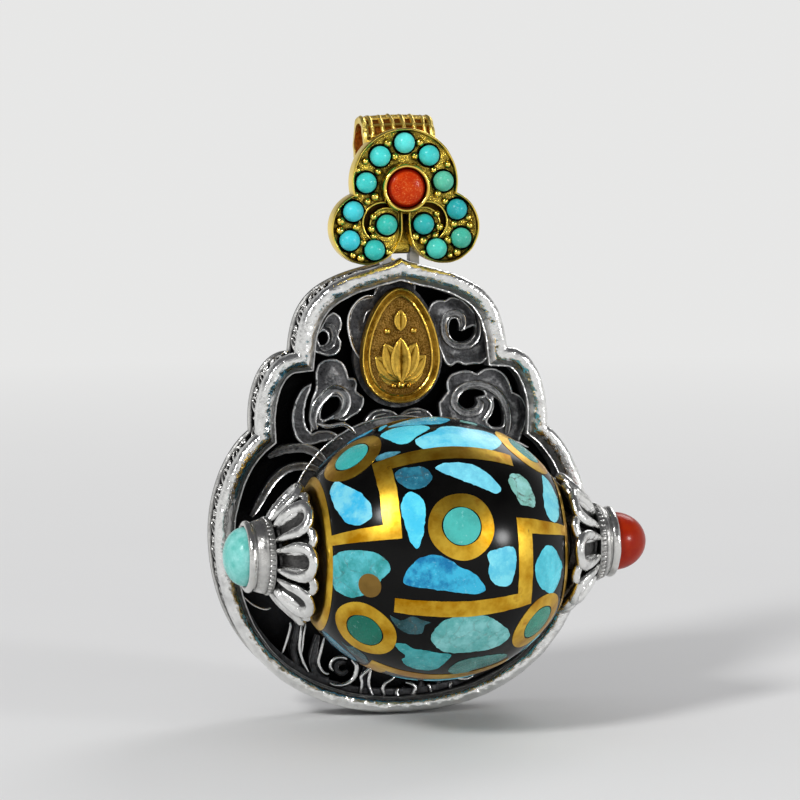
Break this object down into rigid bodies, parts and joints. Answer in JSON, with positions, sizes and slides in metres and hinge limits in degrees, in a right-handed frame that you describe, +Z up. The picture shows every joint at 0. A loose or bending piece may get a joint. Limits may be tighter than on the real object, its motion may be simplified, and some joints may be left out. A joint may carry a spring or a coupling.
{
  "type": "prayer wheel pendant",
  "caption": "Silver pendant case with pierced cloud scrolls, an inlaid barrel wheel that spins on a cross axle between lotus caps, and a gold bail that it swings from.",
  "frame": {"origin": "centre of the bail's cord bore", "axes": "+Z up along the pendant, +Y out of the case's back, +X along the axle to the coral end; the wheel faces -Y"},
  "size_m": [0.0362, 0.0256, 0.0514],
  "materials": {
    "silver": "polished silver, oxidised in its hollows",
    "dark_silver": "oxidised silver with worn bright edges",
    "gold": "polished gold plate, darker in its hollows",
    "brass": "turned brass",
    "jet": "glossy black resin",
    "turquoise": "polished turquoise",
    "coral": "polished red coral"
  },
  "bodies": {
    "bail": {"bail_plate": "gold", "bail_tube": "gold", "bail_collar": "gold", "bail_coral": "coral", "hinge_pin": "gold", "bail_bead_1": "turquoise", "bail_bead_2": "turquoise", "bail_bead_3": "turquoise", "bail_bead_4": "turquoise", "bail_bead_5": "turquoise", "bail_bead_6": "turquoise", "bail_bead_7": "turquoise", "bail_bead_8": "turquoise", "bail_bead_9": "turquoise", "bail_bead_10": "turquoise", "bail_bead_11": "turquoise", "bail_bead_12": "turquoise", "bail_bead_13": "turquoise"},
    "case": {"front_rim": "silver", "side_wall": "silver", "back_plate": "silver", "scroll_panel": "dark_silver", "plaque": "gold", "plaque_lotus": "gold", "left_arm": "silver", "right_arm": "silver", "left_lotus_cap": "silver", "right_lotus_cap": "silver", "left_bezel": "silver", "right_bezel": "silver", "left_hinge_lug": "silver", "right_hinge_lug": "silver", "turquoise_cabochon": "turquoise", "coral_cabochon": "coral", "axle": "silver"},
    "wheel": {"wheel_core": "jet", "wheel_liner": "brass", "left_gold_inlay": "gold", "right_gold_inlay": "gold", "eye_ring_1": "gold", "eye_ring_2": "gold", "eye_ring_3": "gold", "eye_ring_4": "gold", "eye_ring_5": "gold", "eye_ring_6": "gold", "eye_ring_7": "gold", "eye_ring_8": "gold", "eye_ring_9": "gold", "eye_stone_1": "turquoise", "eye_stone_2": "turquoise", "eye_stone_3": "turquoise", "eye_stone_4": "turquoise", "eye_stone_5": "turquoise", "eye_stone_6": "turquoise", "eye_stone_7": "turquoise", "eye_stone_8": "turquoise", "eye_stone_9": "turquoise"}
  },
  "joints": [
    {"name": "bail_swing", "type": "hinge", "parent": "bail", "child": "case", "pos_m": [0, -0.00145, -0.0084], "axis": [1, 0, 0], "range_deg": [-20, 110]},
    {"name": "wheel_spin", "type": "hinge", "parent": "case", "child": "wheel", "pos_m": [0, -0.01205, -0.0334], "axis": [1, 0, 0], "continuous": true}
  ]
}
